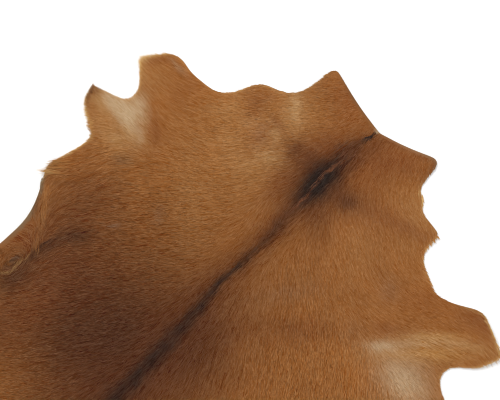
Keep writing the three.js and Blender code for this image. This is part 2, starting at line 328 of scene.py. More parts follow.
# Colour zones of the coat: x, back, half length along the turn, half width, turn, strength, colour.
# The turn is from the spine's direction, anticlockwise. Each row is laid over those before it.
ZONES = [
    # Left shoulder and chest, their honey colour partly the coat's own and partly a painted sheen
    (-125, 115, 100, 70, 0, 0.52, HONEY), (-100, 155, 34, 40, 0, 0.25, HONEY),
    (-115, 60, 27, 10, 44, 0.5, TAN), (-106, 109, 13, 8, 44, 0.35, TAN),
    (-145, 118, 15, 9, -46, 0.3, TAN), (-72, 137, 18, 8, 44, 0.4, HONEY),
    (-183, 125, 16, 9, -46, 0.3, HONEY), (-159, 163, 15, 9, -46, 0.25, HONEY),
    (-112, 174, 16, 9, -46, 0.3, HONEY), (-162, 97, 26, 16, 44, 0.5, RUSSET),
    (-117, 96, 21, 6, 78, 0.48, RUSSET), (-128, 110, 13, 8, -46, 0.4, RUSSET),
    (-122, 125, 13, 8, -46, 0.4, RUSSET), (-90, 138, 17, 10, -46, 0.38, TAN),
    (-53, 152, 36, 20, 0, 0.52, RUSSET), (-155, 74, 16, 10, -46, 0.4, RUSSET),
    # Left foreleg, neck and right chest
    (-310, 180, 30, 30, 0, 0.35, HONEY), (-330, 166, 10, 8, 0, 0.4, TAN),
    (-72, 0, 50, 34, 70, 0.58, RUSSET), (125, 50, 50, 36, 30, 0.3, HONEY),
    (25, 40, 50, 34, 0, 0.5, RUSSET), (65, 100, 40, 40, 0, 0.35, RUSSET),
    (58, 6, 46, 26, -60, 0.6, RUSSET), (122, 76, 52, 12, -72, 0.5, RUSSET),
    (96, 141, 44, 24, 44, 0.2, HONEY),
    # Right side, and single places elsewhere
    (22, 152, 26, 24, 0, 0.35, CHESTNUT), (218, 137, 46, 22, -50, 0.22, GINGER),
    (222, 130, 30, 16, -50, 0.18, RUSSET), (-45, 66, 36, 26, 0, 0.45, RUSSET),
    (285, 118, 60, 30, -70, 0.1, GINGER), (308, 92, 46, 20, -80, 0.55, RUSSET),
    (212, 202, 22, 10, -46, 0.46, RUSSET), (-250, 152, 34, 26, 0, 0.2, RUSSET),
    (174, 161, 20, 16, 44, 0.22, GREY), (121, 295, 45, 24, -46, 0.34, RUSSET),
    # (65, 270): a band of painted grey sheen
    (179, 243, 22, 16, 44, 0.12, GREY), (65, 270, 52, 13, -40, 0.18, GREY),
    (20, 270, 24, 10, 0, 0.2, HONEY), (46, 304, 26, 16, 0, 0.2, HONEY),
    (51, 374, 22, 14, 0, 0.22, RUSSET), (-131, 80, 12, 10, 44, 0.2, RUSSET),
    (-183, 141, 20, 12, -46, 0.22, HONEY), (-242, 350, 40, 26, -46, 0.16, CHESTNUT),
    # Faint clouds
    (-110, 285, 70, 32, 44, 0.17, HONEY), (-146, 262, 70, 26, 44, 0.15, HONEY),
    (30, 168, 50, 26, 44, 0.24, CHESTNUT), (-42, 150, 40, 22, 0, 0.18, CHESTNUT),
    (60, 92, 50, 20, -46, 0.14, CHESTNUT), (-122, 142, 22, 18, 0, 0.28, RUSSET),
    (-93, 118, 20, 16, 0, 0.18, RUSSET), (-24, 340, 38, 18, 0, 0.2, UMBER),
    (18, 350, 30, 13, 0, 0.24, HONEY), (-145, 122, 30, 20, 44, 0.22, GINGER),
    (-66, 146, 22, 16, 0, 0.18, RUSSET), (-36, 56, 16, 10, 0, 0.22, GINGER),
    (24, 58, 24, 16, 0, 0.18, GINGER), (276, 106, 46, 20, -60, 0.17, CHESTNUT),
    (110, 300, 110, 16, -46, 0.14, CHESTNUT),
    # Dark rear half
    (-160, 480, 150, 180, 0, 0.86, CHESTNUT), (-205, 600, 60, 40, 0, 0.5, CHESTNUT),
    (-190, 545, 60, 40, 0, 0.3, RUSSET), (-240, 395, 62, 48, 0, 0.4, CHESTNUT),
    (-240, 532, 34, 20, 0, 0.55, UMBER), (-246, 490, 16, 8, 0, 0.5, UMBER),
    (-252, 552, 18, 12, 44, 0.3, UMBER), (-60, 500, 90, 60, 10, 0.8, UMBER),
    (-118, 545, 56, 46, 0, 0.45, UMBER), (20, 380, 90, 55, 0, 0.5, CHESTNUT),
    (30, 430, 55, 45, 0, 0.42, UMBER), (10, 580, 220, 150, 0, 0.75, CHESTNUT),
    # Left flank, with its wisp, and painted shade along its crease and in a line under the wisp
    (-216, 426, 26, 12, -46, 0.6, UMBER), (-243, 466, 24, 2.8, -16, 0.7, UMBER),
    (-236, 470, 28, 9, -16, 0.5, UMBER), (-292, 412, 40, 12, 24, 0.12, HONEY),
    (-286, 382, 20, 4, -53, 0.2, UMBER), (-189, 377, 10, 2.6, -46, 0.45, GREY),
    (-201, 308, 12, 2.4, -46, 0.25, HONEY),
    # Grey places, a painted grey sheen, and the left foreleg's end
    (-246, 296, 14, 9, -46, 0.48, GREY_EYE), (-150, 318, 14, 8, 40, 0.2, GREY),
    (-122, 126, 18, 14, 30, 0.15, GREY), (-309, 151, 22, 7, -46, 0.35, RUSSET),
    # (-283, 139): painted grey sheen on the left foreleg's top, with a painted pale line in it
    (-283, 139, 18, 5, 88, 0.36, GREY), (-283, 139, 14, 1.8, 88, 0.16, CREAM),
    (-322, 175, 16, 5, 44, 0.35, HONEY),
    # Beside the stripe at the neck
    (-20, 55, 24, 7, -10, 0.6, UMBER), (-6.5, 56, 18, 5, -8, 0.75, UMBER),
    (-14, 70, 18, 18, 0, 0.45, UMBER), (-11, 34, 16, 8, -8, 0.58, CHESTNUT),
    (7, 62, 32, 10, -5, 0.42, CHESTNUT), (7, 121, 22, 10, 0, 0.35, UMBER),
    (0, 49, 16, 8, 0, 0.45, CHESTNUT), (9, 18, 14, 7, 0, 0.3, CHESTNUT),
    (-52, 112, 30, 24, 0, 0.24, CHESTNUT), (-73, 104, 17, 8, 5, 0.55, CHESTNUT),
    (-50, 82, 36, 20, -46, 0.4, RUSSET), (36, 108, 18, 13, -46, 0.55, UMBER),
    # Pale left elbow, its dark point, and painted shade in the groove inside its curled-up rim
    (-312, 262, 40, 34, 60, 0.6, HONEY), (-277, 283, 34, 18, 85, 0.55, HONEY),
    (-292, 236, 30, 18, 75, 0.45, TAN), (-329, 254, 18, 10, 90, 0.42, TAN),
    (-266, 261, 22, 10, 75, 0.42, TAN), (-251, 255, 13, 5, 50, 0.34, CREAM),
    (-272, 254, 14, 6, 90, 0.3, CREAM), (-279, 224, 22, 12, 44, 0.45, CREAM),
    (-236, 253, 18, 12, 90, 0.28, HONEY), (-272, 281, 16, 8, 90, 0.25, TAN),
    # (-352, 258) and (-346, 265): painted shade in the groove inside the elbow's curled-up rim
    (-240, 233, 24, 10, 40, 0.55, RUSSET), (-352, 258, 15, 3.2, 20, 0.85, CHESTNUT),
    (-346, 265, 17, 2.8, 33, 0.42, CHESTNUT), (-347, 249, 8, 6, 60, 0.45, CHESTNUT),
    # Pale band of the right foreleg
    (278, 190, 66, 14, -46, 0.5, GOLD), (237, 213, 36, 8, -33, 0.22, CREAM),
    (222, 226, 20, 7, -46, 0.55, CREAM), (273, 159, 45, 6, -46, 0.4, GOLD),
    (262, 180, 30, 9, -46, 0.3, TAN), (300, 148, 56, 8, -56, 0.35, TAN),
    (285, 240, 44, 30, 90, 0.65, CREAM),
    # Past the picture
    (-345, 705, 60, 45, 0, 0.4, CREAM), (345, 705, 60, 45, 0, 0.4, CREAM),
    (300, 330, 80, 40, 0, 0.25, HONEY),
]

# Colour patches with a firmer border, laid over the zones: the same columns
PATCHES = [
    (-16, 104, 66, 19, 90, 0.5, CHESTNUT), (-15, 112, 50, 30, 0, 0.55, UMBER),
    # (-4.8, 15): painted shade in a slit by the notch
    (-15, 114, 42, 19, 0, 0.9, BLACK), (-4.8, 15, 12, 3, -10, 0.92, BLACK),
    (-3, 2, 3.6, 2.2, 45, 0.75, CREAM), (-302, 245, 35, 13, 84, 0.64, CREAM),
    (-290, 231, 18, 13, 50, 0.36, CREAM), (-260, 520, 10, 4.8, 0, 0.68, GREY_EYE),
]

# Tints, painted shade and painted light along the cut edge: x, back, reach, depth of the band, strength,
# colour
RIM_TINTS_SHADE_AND_LIGHT = [
    # Flank: its rolled edge, skin and hair seen grey-olive, with painted shade and sheen on it
    (-318, 406, 26, 3.2, 0.75, OLIVE), (-297, 462, 58, 5, 0.85, OLIVE),
    # Neck: the CHESTNUT and UMBER bands are painted shade towards the edges, where these curl down;
    # the GREY and OLIVE lines are the skin at the very edge
    (86, -26, 24, 12, 0.38, CHESTNUT), (50, -14, 46, 11, 0.2, CHESTNUT),
    (-60, -8, 56, 4.2, 0.55, UMBER), (50, -14, 50, 4, 0.42, GREY),
    (-60, -8, 56, 1.6, 0.45, OLIVE), (50, -14, 50, 1.6, 0.3, OLIVE),
    # STRAW rims: the hair's pale tips with painted light on them, a painted lit rim at (-345, 274) and
    # (-325, 291)
    (86, -27, 24, 3, 0.4, OLIVE), (-332, 168, 18, 3.4, 0.75, STRAW),
    (-316, 190, 26, 2.8, 0.55, STRAW), (-316, 145, 30, 2, 0.45, STRAW),
    (-325, 291, 22, 3, 0.65, STRAW), (-345, 274, 24, 2.4, 0.5, STRAW),
    (-312, 338, 46, 2.4, 0.45, STRAW), (-185, 78, 60, 2, 0.3, STRAW),
    (114, 22, 24, 2.4, 0.55, STRAW), (176, 84, 36, 2.4, 0.5, STRAW),
    (330, 98, 42, 3, 0.7, STRAW),
]

# Tufts and combed bundles that lie on the coat: x, back, half length and half width of the roots, angle,
# fan, hair length, lift, strands, share of pale at the tip
TUFTS = np.array([
    (-298, 348, 8, 5, 40, 5, 34, 2.6, 70, 0.35), (-294, 356, 8, 5, 42, 4, 38, 2.6, 70, 0.35),
    (-286, 366, 8, 2, 53, 2, 49, 3.2, 110, 1), (-312, 290, 3, 9, 52, 9, 14, 2.4, 60, 0.7),
    (-354, 251, 1.5, 2.5, 134, 5, 6, 1.2, 24, 0.35), (-303, 398, 10, 5, -34, 5, 34, 2, 110, 0.2),
    (-288, 420, 12, 5, -38, 5, 34, 2, 110, 0.2), (-272, 444, 12, 5, -36, 5, 34, 2.2, 110, 0.2),
    (-261, 466, 10, 4, -42, 5, 28, 2.4, 110, 0.2), (-250, 488, 6, 2.5, -12, 4, 20, 2.4, 50, 0.4),
    (-251, 503, 7, 3.4, -2, 4, 20, 2.6, 60, 0.68), (-249, 518, 7, 3.4, 6, 4, 18, 2.6, 60, 0.68),
    (-250, 532, 6, 3.4, 28, 5, 16, 2.6, 60, 0.68), (-256, 542, 5, 3.4, 62, 6, 14, 2.6, 50, 0.68),
    (166, 50, 1, 1.2, 78, 5, 10, 1.6, 14, 1), (166, 57, 1, 1.2, 72, 5, 10, 1.6, 14, 1),
    (167, 64, 1, 1.2, 68, 5, 9, 1.6, 12, 1), (168, 71, 1, 1.2, 64, 5, 8, 1.6, 12, 1),
    (110, 22, 2, 1.5, 54, 4, 14, 1.4, 22, 0.6),
])

# Bare skin that shows along the cut edge: x, back, reach, width
BARE_RIM = np.array([
    (-318, 408, 24, 1.6), (-297, 462, 56, 2.2), (-60, -8, 44, 1), (56, -16, 44, 1.2),
]).T
BARE_RIM_LEAST = 0.3

# Hair that stands out past the cut edge: x, back, reach, mean length
FRINGE = np.array([
    (-325, 155, 44, 1.8), (-330, 288, 30, 1.8), (-320, 372, 16, 2.2), (108, 26, 24, 1),
    (119, 31, 8, 3), (171, 62, 15, 1.6), (362, 125, 40, 1.6), (320, 362, 50, 2),
    (-372, 720, 60, 2), (372, 720, 60, 2), (0, 890, 160, 2.4),
]).T
FRINGE_LEAST = 0.3


def smooth(value, low, high):
    """Rises from 0 at low to 1 at high, and is level at both."""
    t = np.clip((value - low) / (high - low), 0, 1)
    return t * t * (3 - 2 * t)


def between(grid, i, j, fu, fv):
    """Values a share of the way from a grid's column i and row j to the next. Past its end it repeats."""
    rows, columns = grid.shape
    low, high = (grid[at % rows, i % columns] * (1 - fu) + grid[at % rows, (i + 1) % columns] * fu
                 for at in (j, j + 1))
    return low * (1 - fv) + high * fv


def noise(x, y, cell, seed):
    """Soft noise from -1 to 1, with bumps about one cell across."""
    lattice = np.random.default_rng(SEED + seed).uniform(-1, 1, (NOISE_SIZE, NOISE_SIZE))
    u, v = x / cell, y / cell
    i, j = np.floor(u).astype(int), np.floor(v).astype(int)
    return between(lattice.T, i, j, smooth(u - i, 0, 1), smooth(v - j, 0, 1))


def layered(x, y, layers):
    """Sum of layers of noise."""
    return sum(depth * noise(x, y, cell, seed) for depth, cell, seed in layers)


def shift(pair, rough):
    """The value between a smooth and a rough coat's."""
    return pair[0] + (pair[1] - pair[0]) * rough


class Map:
    """A square grid of values over the plan, read smoothly between its points."""

    def __init__(self, low, step, values):
        self.low, self.step, self.values = low, step, values

    def at(self, x, y):
        rows, columns = self.values.shape
        u = np.clip((x - self.low[0]) / self.step, 0, columns - MAP_LAST)
        v = np.clip((y - self.low[1]) / self.step, 0, rows - MAP_LAST)
        i, j = u.astype(int), v.astype(int)
        return between(self.values, i, j, u - i, v - j)


def cad_mesh(name):
    """Vertices, in millimetres, and triangles of a CAD node, with equal vertices merged."""
    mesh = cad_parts[name].data
    mesh.calc_loop_triangles()
    points = np.empty(len(mesh.vertices) * 3)
    mesh.vertices.foreach_get("co", points)
    triangles = np.empty(len(mesh.loop_triangles) * 3, int)
    mesh.loop_triangles.foreach_get("vertices", triangles)
    points = np.round(points.reshape(-1, 3) / MM, 3)
    points, same = np.unique(points, axis=0, return_inverse=True)
    return points, same.reshape(-1)[triangles].reshape(-1, 3)


def cut_edge(points, triangles):
    """The solid's cut edge: the longest border of its faces that look down, as a closed loop."""
    a, b, c = (points[triangles[:, k]] for k in range(3))
    normal = np.cross(b - a, c - a)
    under = triangles[normal[:, 2] < -0.5 * np.linalg.norm(normal, axis=1)]
    edges = np.concatenate([under[:, [0, 1]], under[:, [1, 2]], under[:, [2, 0]]])
    there = {tuple(e) for e in edges.tolist()}
    following = {i: j for i, j in there if (j, i) not in there}
    loops = []
    while following:
        start, at = following.popitem()
        loop = [start]
        while at != start and at in following:
            loop.append(at)
            at = following.pop(at)
        loops.append(loop)
    longest = points[max(loops, key=len)][:, :2]
    return longest if loop_area(longest) > 0 else longest[::-1]


def even_loop(loop, step):
    """The closed loop with its points an even way apart."""
    closed = np.vstack([loop, loop[:1]])
    way = np.concatenate([[0], np.cumsum(np.linalg.norm(np.diff(closed, axis=0), axis=1))])
    count = int(round(way[-1] / step))
    at = np.linspace(0, way[-1], count, endpoint=False)
    return np.column_stack([np.interp(at, way, closed[:, k]) for k in range(2)])


def loop_area(loop):
    """Area inside a closed loop, negative where it runs clockwise."""
    x, y = loop.T
    return 0.5 * np.sum(x * np.roll(y, -1) - y * np.roll(x, -1))


def edge_distance(loop):
    """Map of the distance inside the cut edge: positive on the skin and negative past its edge."""
    step, reach = EDGE_MAP_STEP, EDGE_MAP_REACH
    low = loop.min(0) - EDGE_MAP_MARGIN
    columns, rows = np.ceil((loop.max(0) + EDGE_MAP_MARGIN - low) / step).astype(int) + 1
    xs = low[0] + step * np.arange(columns)
    ys = low[1] + step * np.arange(rows)
    far = np.full((rows, columns), reach)
    inside = np.zeros((rows, columns), bool)
    for a, b in zip(loop, np.roll(loop, -1, axis=0)):
        box_low = np.floor((np.minimum(a, b) - reach - low) / step).astype(int).clip(0)
        box_high = np.ceil((np.maximum(a, b) + reach - low) / step).astype(int) + 1
        cols, lines = slice(box_low[0], box_high[0]), slice(box_low[1], box_high[1])
        px, py = xs[cols][None, :] - a[0], ys[lines][:, None] - a[1]
        run = b - a
        t = np.clip((px * run[0] + py * run[1]) / (run @ run), 0, 1)
        gap = np.hypot(px - t * run[0], py - t * run[1])
        far[lines, cols] = np.minimum(far[lines, cols], gap)
        crossed = (ys >= min(a[1], b[1])) & (ys < max(a[1], b[1]))
        if crossed.any():
            at = a[0] + (ys[crossed] - a[1]) * run[0] / run[1]
            inside[crossed] ^= xs[None, :] > at[:, None]
    return Map(low, step, np.where(inside, far, -far))


def filled(heights):
    """The grid with its unknown values filled outwards from the known ones beside them."""
    rows, columns = heights.shape
    while np.isnan(heights).any():
        padded = np.pad(heights, 1, constant_values=np.nan)
        around = np.stack([padded[dj:dj + rows, di:di + columns] for dj in range(3) for di in range(3)])
        known = ~np.isnan(around)
        mean = np.where(known, around, 0).sum(0) / np.maximum(known.sum(0), 1)
        heights = np.where(np.isnan(heights) & known.any(0), mean, heights)
    return heights


def softened(heights, passes):
    """The grid with each value drawn to those of its four neighbours."""
    for _ in range(passes):
        padded = np.pad(heights, 1, mode="edge")
        above_below = padded[:-2, 1:-1] + padded[2:, 1:-1]
        heights = (4 * heights + above_below + padded[1:-1, :-2] + padded[1:-1, 2:]) / 8
    return heights


def floor_gap(points, triangles, low, high):
    """Map of the height of the skin's underside over the floor, read from the solid."""
    tree = BVHTree.FromPolygons([Vector(p) for p in points], triangles.tolist())
    xs = np.arange(low[0], high[0] + FOLD_MAP_STEP, FOLD_MAP_STEP)
    ys = np.arange(low[1], high[1] + FOLD_MAP_STEP, FOLD_MAP_STEP)
    heights = np.full((len(ys), len(xs)), np.nan)
    up = Vector((0, 0, 1))
    for j, y in enumerate(ys):
        for i, x in enumerate(xs):
            place = tree.ray_cast(Vector((x, y, RAY_START)), up)[0]
            if place is not None:
                heights[j, i] = place.z
    return Map(low, FOLD_MAP_STEP, softened(filled(heights), FOLD_MAP_SOFTER))


solid_points, solid_triangles = cad_mesh(PELT_NODE)
edge_loop = even_loop(cut_edge(solid_points, solid_triangles), RIM_STEP)
edge_low, edge_high = edge_loop.min(0), edge_loop.max(0)
inside_edge = edge_distance(edge_loop)
fold_low, fold_high = edge_low - FOLD_MAP_MARGIN, edge_high + FOLD_MAP_MARGIN
skin_under = floor_gap(solid_points, solid_triangles, fold_low, fold_high)


def stripe_x(back):
    """Where the stripe's middle lies."""
    return np.interp(back, STRIPE[0], STRIPE[1])


def near(x, back, row_x, row_back, reach):
    """How near each place is to a row's: 1 there, and fading out over the row's reach."""
    return np.exp(-((x - row_x) ** 2 + (back - row_back) ** 2) / reach ** 2)


def most_near(table, least, x, y):
    """The largest of a table's values at each place, each fading out over its reach."""
    value = np.full_like(x, least)
    for *place, most in table.T:
        value = np.maximum(value, most * near(x, NOTCH_Y - y, *place))
    return value


def drawn_to(table, weight, x, back, *values):
    """Values at each place, drawn towards those of a table's rows close by."""
    total = np.ones_like(x)
    for row_x, row_back, reach, *row_values in table.T:
        w = weight * near(x, back, row_x, row_back, reach)
        values = [value + w * row_value for value, row_value in zip(values, row_values)]
        total += w
    return [value / total for value in values]


def lie(x, y):
    """Unit direction in which the hair lies at each place."""
    back = NOTCH_Y - y
    off = x - stripe_x(back)
    side = np.where(off < 0, -1.0, 1.0)
    most, left, right = (np.interp(back, *table) for table in (LIE_MOST, LIE_LEFT, LIE_RIGHT))
    by_itself = most * (1 - np.exp(-(off / np.where(off < 0, left, right)) ** 2))
    angle = np.radians(drawn_to(LIE, LIE_WEIGHT, x, back, by_itself)[0])
    dx, dy = side * np.sin(angle), -np.cos(angle)
    for row_x, row_back, radius, turn, width in WHORLS.T:
        ux, uy = (x - row_x) / width, y - (NOTCH_Y - row_back)
        r = np.hypot(ux, uy) + TINY
        w = 1 - smooth(r, WHORL_CORE * radius, radius)
        dx = dx * (1 - w) + w * width * (turn * uy - WHORL_INWARDS * ux) / r
        dy = dy * (1 - w) + w * (-turn * ux - WHORL_INWARDS * uy) / r
    size = np.hypot(dx, dy) + TINY
    return dx / size, dy / size


def coat_kind(x, y):
    """Hair length and roughness of the coat at each place."""
    return drawn_to(COAT, COAT_WEIGHT, x, NOTCH_Y - y, BODY_LENGTH, BODY_ROUGH)


def bare_rim(x, y):
    """Width of the skin that shows between the hair and the cut edge."""
    return most_near(BARE_RIM, BARE_RIM_LEAST, x, y)


def toned(colour, step):
    """Colours a step lighter or darker. Pale hairs are greyer and dark ones redder."""
    step = np.where(step > 0, PALE_MOST * np.tanh(step / PALE_MOST), np.maximum(step, DARK_MOST))
    screen = colour ** (1 / SCREEN_POWER) + step[:, None] * STEP_SHARE
    return np.maximum(screen, SCREEN_LEAST) ** SCREEN_POWER


def darker(spread, rough):
    """A spread whose dark side reaches further than its light side, the more so in a rough coat."""
    # The far dark side stands partly for darker hairs, partly for painted shade in the gaps between them
    return spread - DARK_SIDE * rough ** 3 * (spread ** 2 - 1)


def streak(x, y, reach):
    """Noise that is drawn out along the lie of the coat, with a spread of about one."""
    dx, dy = lie(x, y)
    total = np.zeros_like(x)
    for share in np.linspace(-1, 1, STREAK_STEPS):
        total += noise(x + share * reach * dx, y + share * reach * dy, STREAK_CELL, STREAK_SEED)
    return total / total.std()


def mix(colour, tint, share):
    """Mixes a share of a tint into the colours."""
    colour += (tint - colour) * share[:, None]


def blend(colour, x, back, rows, firmness):
    """Blends each row's tint into the colours over its ellipse, with a sharper border the firmer it is."""
    for row_x, row_back, half_length, half_width, turn, strength, tint in rows:
        c, s = math.cos(math.radians(turn)), math.sin(math.radians(turn))
        ux, uy = x - row_x, row_back - back
        along, across = uy * c - ux * s, ux * c + uy * s
        far = (along / half_length) ** 2 + (across / half_width) ** 2
        mix(colour, tint, strength * np.exp(-far ** firmness))


def blend_stripe(colour, x, y, back, off):
    """Blends in the dark stripe and its brown halo. Off is the distance from the stripe's middle."""
    half, strength, halo_half, halo_strength = (np.interp(back, STRIPE[0], row) for row in STRIPE[2:])
    strength = strength * (STRIPE_DEPTH + layered(x, y, STRIPE_DEPTH_NOISE))
    half = half * (STRIPE_WIDTH + layered(x, y, STRIPE_WIDTH_NOISE))
    halo = halo_strength * np.exp(-(off / halo_half) ** 2)
    colour += np.minimum(CHESTNUT - colour, 0) * halo[:, None]
    mix(colour, BLACK, strength * np.exp(-(off / half) ** 2))


def blend_rim(colour, x, back, inside):
    """Blends in the tints, painted shade and painted light along the cut edge."""
    for *place, depth, strength, tint in RIM_TINTS_SHADE_AND_LIGHT:
        mix(colour, tint, strength * near(x, back, *place) * np.exp(-(inside / depth) ** 2))


def blend_crest(colour, x, y, back, off):
    """Blends in the pale crest along the middle of the stripe's black part, partly a painted ridge
    highlight.
    """
    crest = smooth(back, *CREST_BEGINS) * (1 - smooth(back, *CREST_ENDS))
    crest *= CREST_DEPTH + layered(x, y, CREST_DEPTH_NOISE)
    crest *= np.exp(-(off / (CREST_HALF + layered(x, y, CREST_HALF_NOISE))) ** 2)
    mix(colour, CREST, crest)


def coat_colour(x, y):
    """Linear colour of the coat at each place."""
    inside = np.maximum(inside_edge.at(x, y), 0)
    back = NOTCH_Y - y
    x = x + layered(x, y, WARP_ACROSS)
    back = back + layered(x, y, WARP_ALONG)
    off = x - stripe_x(back)
    colour = np.tile(CARAMEL, (len(x), 1))
    colour *= (1 + layered(x, y, CLOUDS))[:, None]
    blend(colour, x, back, ZONES, ZONE_FIRMNESS)
    blend_stripe(colour, x, y, back, off)
    blend(colour, x, back, PATCHES, PATCH_FIRMNESS)
    blend_rim(colour, x, back, inside)
    blend_crest(colour, x, y, back, off)
    return colour


def add(name, data):
    """A new object in the scene."""
    obj = bpy.data.objects.new(name, data)
    scene.collection.objects.link(obj)
    return obj


def new_object(name, points, faces, materials):
    """A mesh object from points in millimetres and triangles."""
    mesh = bpy.data.meshes.new(name)
    mesh.vertices.add(len(points))
    mesh.vertices.foreach_set("co", (points * MM).astype(np.float32).ravel())
    mesh.loops.add(len(faces) * 3)
    mesh.loops.foreach_set("vertex_index", faces.astype(np.int32).ravel())
    mesh.polygons.add(len(faces))
    mesh.polygons.foreach_set("loop_start", np.arange(0, len(faces) * 3, 3, dtype=np.int32))
    mesh.update(calc_edges=True)
    mesh.polygons.foreach_set("use_smooth", np.ones(len(faces), bool))
    for material in materials:
        mesh.materials.append(material)
    flat = mesh.uv_layers.new(name="OFBake")
    span = np.array([cad_hi.x - cad_lo.x, cad_hi.y - cad_lo.y]) / MM * UV_MARGIN
    plan = points[faces.ravel(), :2] / span + 0.5
    flat.data.foreach_set("uv", plan.astype(np.float32).ravel())
    return add(name, mesh)


def paint(obj, colours):
    """Stores a linear colour for each point, for the material to read."""
    layer = obj.data.color_attributes.new("tint", "FLOAT_COLOR", "POINT")
    rgba = np.ones((len(colours), 4), np.float32)
    rgba[:, :3] = colours
    layer.data.foreach_set("color", rgba.ravel())


def shader(name):
    """A new material with its node tree and surface."""
    material = bpy.data.materials.new(name)
    material.use_nodes = True
    return material, material.node_tree, material.node_tree.nodes["Principled BSDF"]


def set_inputs(node, values):
    """Sets a node's inputs by name."""
    for name, value in values.items():
        node.inputs[name].default_value = value


def specks(tree, scale, detail):
    """Noise that is fixed to the object."""
    place = tree.nodes.new("ShaderNodeTexCoord")
    texture = tree.nodes.new("ShaderNodeTexNoise")
    set_inputs(texture, {"Scale": scale, "Detail": detail})
    tree.links.new(place.outputs["Object"], texture.inputs["Vector"])
    return texture


def ranged(tree, texture, start, end, low, high):
    """A texture's values, those from start to end spread from low to high."""
    spread = tree.nodes.new("ShaderNodeMapRange")
    set_inputs(spread, {"From Min": start, "From Max": end, "To Min": low, "To Max": high})
    tree.links.new(texture.outputs["Fac"], spread.inputs["Value"])
    return spread.outputs["Result"]


def painted(tree, surface, tone):
    """Gives the surface the colour that is painted on the points, times a tone."""
    tint = tree.nodes.new("ShaderNodeAttribute")
    tint.attribute_name = "tint"
    mixed = tree.nodes.new("ShaderNodeVectorMath")
    mixed.operation = "SCALE"
    tree.links.new(tint.outputs["Color"], mixed.inputs[0])
    tree.links.new(tone, mixed.inputs["Scale"])
    tree.links.new(mixed.outputs["Vector"], surface.inputs["Base Color"])


def bumped(tree, surface, texture, strength, distance):
    """Gives the surface a texture's relief."""
    bump = tree.nodes.new("ShaderNodeBump")
    set_inputs(bump, {"Strength": strength, "Distance": distance})
    tree.links.new(texture.outputs["Fac"], bump.inputs["Height"])
    tree.links.new(bump.outputs["Normal"], surface.inputs["Normal"])


def hair_material():
    """Hair: the coat's colour, with fine light and dark flecks and an uneven silky gloss."""
    material, tree, surface = shader("coat_hair")
    fleck = specks(tree, scale=420, detail=2)
    painted(tree, surface, ranged(tree, fleck, 0.3, 0.7, 0.93, 1.07))
    tree.links.new(ranged(tree, fleck, 0, 1, 0.48, 0.68), surface.inputs["Roughness"])
    set_inputs(surface, {"Specular IOR Level": 0.10})
    return material


def undercoat_material():
    """The hair side of the skin, seen only between the strands: short dense down."""
    material, tree, surface = shader("coat_down")
    down = specks(tree, scale=900, detail=3)
    painted(tree, surface, ranged(tree, down, 0.3, 0.7, 0.86, 1.0))
    bumped(tree, surface, down, strength=0.5, distance=0.0006)
    set_inputs(surface, {"Roughness": 0.9, "Specular IOR Level": 0.1})
    return material


def suede_material(name, light, dark, scale):
    """Tanned skin: napped suede with soft blotches."""
    material, tree, surface = shader(name)
    blotch = specks(tree, scale, detail=6)
    set_inputs(blotch, {"Roughness": 0.65})
    ramp = tree.nodes.new("ShaderNodeValToRGB")
    for stop, position, colour in zip(ramp.color_ramp.elements, (0.35, 0.68), (dark, light)):
        stop.position = position
        stop.color = (*colour, 1)
    tree.links.new(blotch.outputs["Fac"], ramp.inputs["Fac"])
    tree.links.new(ramp.outputs["Color"], surface.inputs["Base Color"])
    bumped(tree, surface, specks(tree, scale=1100, detail=2), strength=0.4, distance=0.0004)
    set_inputs(surface, {"Roughness": 0.85, "Specular IOR Level": 0.2})
    return material


def skin_loop():
    """The skin's own edge, back from the solid's and more so under hanging hair, and the way out from it."""
    before, after = np.roll(edge_loop, 2, axis=0), np.roll(edge_loop, -2, axis=0)
    run = after - before
    out = np.column_stack([run[:, 1], -run[:, 0]]) / np.linalg.norm(run, axis=1)[:, None]
    dx, dy = lie(*edge_loop.T)
    over = np.clip(dx * out[:, 0] + dy * out[:, 1], 0, 1)
    covered = 1 - smooth(bare_rim(*edge_loop.T), BARE_RIM_LEAST, 2)
    inset = RIM_INSET + RIM_OVERHUNG * over * covered
    for _ in range(RIM_SOFTER):
        inset = (np.roll(inset, 1) + 2 * inset + np.roll(inset, -1)) / 4
    return edge_loop - out * inset[:, None], out


def skin_plan(loop, out):
    """The skin from above: points of its edge, of a line inside it and of its filling, and triangles."""
    line = loop - RIM_LINE * out
    line = line[inside_edge.at(*line.T) > RIM_LINE_GAP]
    low, high = loop.min(0), loop.max(0)
    gx, gy = np.meshgrid(np.arange(low[0], high[0], SKIN_STEP), np.arange(low[1], high[1], SKIN_STEP))
    gx = gx + (np.arange(len(gx)) % 2)[:, None] * SKIN_STEP / 2
    inner = np.column_stack([gx.ravel(), gy.ravel()])
    inner = inner[inside_edge.at(*inner.T) > SKIN_FILL_GAP]
    plan = [Vector(p) for p in np.vstack([loop, line, inner])]
    count = len(loop)
    edges = [(i, (i + 1) % count) for i in range(count)]
    inside_only = 1
    flat, _, faces, *_ = delaunay_2d_cdt(plan, edges, [list(range(count))], inside_only, MERGE_GAP)
    assert len(flat) == len(plan)
    return np.array([tuple(p) for p in flat]), np.array(faces)


def band(count, upper, lower):
    """Triangles between two closed rows of points, given by the numbers of their first points."""
    a = np.arange(count)
    b = (a + 1) % count
    return np.concatenate([
        np.column_stack([a + upper, a + lower, b + upper]),
        np.column_stack([b + upper, a + lower, b + lower]),
    ])


